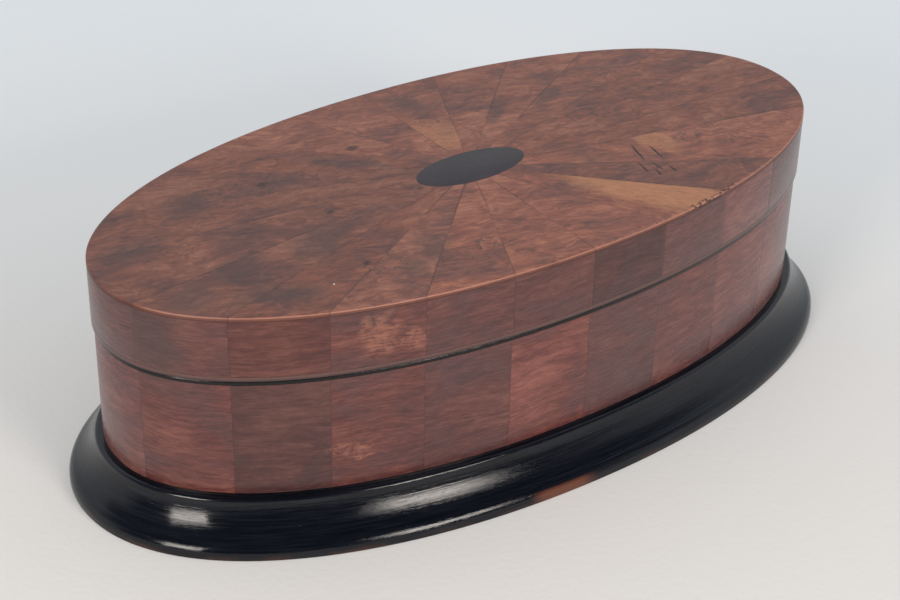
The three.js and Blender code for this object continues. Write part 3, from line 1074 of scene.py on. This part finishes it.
wall_line = plain_ring("wall_black_line", wall_line_low, wall_line_high, VENEER, black_stringing, 0.45, 0.05)
lid_line = plain_ring("lid_black_line", lid_line_low, lid_line_high, VENEER, black_stringing, 0.05, 0.45)
wall_timber = plain_ring("wall_timber", carcass_low, carcass_high, CARCASS, carcass_wood, 0.3, 0.2)
lid_timber = plain_ring("lid_rim_timber", rim_low, rim_high, LID_RIM, carcass_wood, 0.2, 0.3)
lining = plain_ring("lining", liner_low, liner_high, LINER, liner_wood, 0.9, 0.2)

# %% [markdown]
# ## Joining the pieces to the frame
#
# Each new piece hides the solids it stands for and is attached to the body it moves with. The
# floor board and the lid's panel are plain flat boards, so their solids stay and only get timber.

# %% Ride and replace
def numbered(stem):
    return [f"{stem}_{i + 1:02d}" for i in range(STRIPS)]


def join(piece, body, slot, *nodes):
    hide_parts(*nodes)
    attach(piece, body)


join(foot, "box", "ebonised_wood", "plinth")
join(wall_timber, "box", "carcass_wood", "carcass_wall")
join(lining, "box", "liner_wood", "liner_with_lip")
join(wall_line, "box", "black_stringing", "body_edge_stringing")
join(wall_strips, "box", "wall_veneer", *numbered("body_veneer"))
join(lid_timber, "lid", "carcass_wood", "lid_rim")
join(lid_line, "lid", "black_stringing", "lid_edge_stringing")
join(lid_band, "lid", "wall_veneer", "lid_side_veneer")
join(top_rays, "lid", "top_veneer", *numbered("top_veneer"))
join(inlay, "lid", "ebony_inlay", "centre_inlay")

for node, material in (("floor_board", liner_wood), ("lid_panel", carcass_wood)):
    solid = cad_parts[node]
    solid.data.materials.clear()
    solid.data.materials.append(material)
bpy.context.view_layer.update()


# %% [markdown]
# ## The studio
#
# The box stood on a pale table before pale walls, and the room on the camera's side was dark but for
# two windows. That shows in the foot, which is almost black with two lights in its hollow. So two equal
# soft boxes stand in front, one further left, in a soft light that is the same from all sides. Only
# reflections see a room: the pale wall that the camera sees, behind and beside the box, a brighter
# ceiling, and the dark side in front. The floor has a faint glow for the camera and reflections, and is
# greyer under the soft boxes, so that it doesn't turn plain white when seen from behind.

# %% Floor
FLOOR_NEAR = (0.782, 0.766, 0.750)
FLOOR_FAR = (0.845, 0.880, 0.905)
GLOW_NEAR = (0.050, 0.055, 0.060)
GLOW_FAR = (0.088, 0.096, 0.110)
FLOOR_UNDER_LAMPS = (0.300, 0.295, 0.290)
UNDER_LAMPS = (-0.30, -1.15)
LOWEST_SEEN = -0.12
HIGHEST_SEEN = 0.36
# The way from the camera over the floor, in x and y
AWAY = (0.59, 0.807)


def floor_finish():
    f = Finish("pale_floor")
    x, y, _ = f.split(f.add("ShaderNodeTexCoord").out("Object"))
    away = x * AWAY[0] + y * AWAY[1]
    far = f.step(away, LOWEST_SEEN, HIGHEST_SEEN)
    pale = f.mix(far, FLOOR_NEAR, FLOOR_FAR)
    pale = f.mix(f.step(away - x * 0.35, UNDER_LAMPS[0], UNDER_LAMPS[1]), pale, FLOOR_UNDER_LAMPS)
    ray = f.add("ShaderNodeLightPath")
    seen = ray.out("Is Camera Ray").math("MAXIMUM", ray.out("Is Glossy Ray"))
    glow = f.mix(seen, (0.0, 0.0, 0.0), f.mix(far, GLOW_NEAR, GLOW_FAR))
    grit = f.noise(f.position(), 0.35, 2.0)
    constants = {"IOR": 1.3, "Emission Color": glow, "Emission Strength": 1.0}
    return f.finish(pale, 0.7 + grit * 0.1, grit, 0.0001, constants)


FLOOR_REACH = 12.0
floor_mesh = bpy.data.meshes.new("floor")
corners = [(x * FLOOR_REACH, y * FLOOR_REACH, 0) for x, y in ((-1, -1), (1, -1), (1, 1), (-1, 1))]
floor_mesh.from_pydata(corners, [], [(0, 1, 2, 3)])
floor_mesh.materials.append(floor_finish())
floor = add_object("floor", floor_mesh)


# %% Sky
SOFT_LIGHT = (0.555, 0.565, 0.57)
MIRRORED_CEILING = (0.88, 1.00, 1.24)
MIRRORED_DARK = (0.018, 0.022, 0.030)
MIRRORED_DIM = (0.080, 0.090, 0.112)
SEEN_SKY = (0.68, 0.72, 0.74)


def studio_sky():
    world = bpy.data.worlds.new("studio")
    bpy.context.scene.world = world
    world.use_nodes = True
    world.node_tree.nodes.clear()
    nodes = Shading(world.node_tree)
    x, y, up = nodes.split(nodes.add("ShaderNodeTexCoord").out("Generated"))
    away = x * AWAY[0] + y * AWAY[1]
    aside = x * AWAY[1] - y * AWAY[0]
    pale = nodes.mix(nodes.step(up, 0.55, 0.80), SEEN_SKY, MIRRORED_CEILING)
    behind = nodes.step(away, 0.0, 0.25)
    beside = nodes.step(up, 0.6, 0.2) * nodes.step(away, -0.5, -0.1)
    dark = nodes.mix(nodes.step(aside, 0.2, -0.7), MIRRORED_DARK, MIRRORED_DIM)
    mirrored = nodes.mix(behind + beside, dark, pale)
    ray = nodes.add("ShaderNodeLightPath")
    light = nodes.mix(ray.out("Is Glossy Ray"), SOFT_LIGHT, mirrored)
    colour = nodes.mix(ray.out("Is Camera Ray"), light, SEEN_SKY)
    shader = nodes.add("ShaderNodeBackground", {}, {"Color": colour, "Strength": 1.0})
    nodes.add("ShaderNodeOutputWorld", {}, {"Surface": shader})


studio_sky()


# %% Soft boxes
LAMP_DISTANCE = 1.6
LAMP_WIDTH, LAMP_HEIGHT = 0.5, 0.48
LAMP_POWER = 12.0
LAMP_COLOUR = (1.0, 0.93, 0.86)


def soft_box(name, direction):
    data = bpy.data.lights.new(name, "AREA")
    data.shape = "RECTANGLE"
    data.size, data.size_y = LAMP_WIDTH, LAMP_HEIGHT
    data.energy = LAMP_POWER
    data.color = LAMP_COLOUR
    light = add_object(name, data)
    towards = Vector(direction).normalized()
    turned = towards.to_track_quat("Z", "Y").to_matrix().to_4x4()
    light.matrix_world = Matrix.Translation(towards * LAMP_DISTANCE) @ turned


soft_box("front_soft_box", (0.090, -0.929, 0.360))
soft_box("left_soft_box", (-0.866, -0.368, 0.340))

# %% [markdown]
# ## The camera
#
# The camera stands where the photograph was taken from. Its place, lens and slight roll were fitted
# to the outlines of the lid, the wall and the foot.

# %% Camera
AZIMUTH = math.radians(-36.19)
ELEVATION = math.radians(31.45)
ROLL = math.radians(1.176)
DISTANCE = 0.7388
TARGET = Vector((-0.01826, -0.01387, 0.045))
LENS = 80.64
SENSOR = 36.0

back = Vector((math.sin(AZIMUTH), -math.cos(AZIMUTH), 0)) * math.cos(ELEVATION)
back.z = math.sin(ELEVATION)
right = Vector(UP).cross(back).normalized()
above = back.cross(right)
across = right * math.cos(ROLL) + above * math.sin(ROLL)
upward = above * math.cos(ROLL) - right * math.sin(ROLL)
turned = Matrix((across, upward, back)).transposed().to_4x4()

lens = bpy.data.cameras.new("camera")
lens.lens = LENS
lens.sensor_width = SENSOR
lens.sensor_fit = "HORIZONTAL"
lens.clip_start = 0.05
camera = add_object("camera", lens)
camera.matrix_world = Matrix.Translation(TARGET + back * DISTANCE) @ turned
bpy.context.scene.camera = camera
print("camera at", [round(v, 3) for v in camera.matrix_world.translation])

# %% [markdown]
# ## Picture settings
#
# Colours are shown as they are, with the Standard view.

# %% Finish
bpy.context.scene.view_settings.view_transform = "Standard"
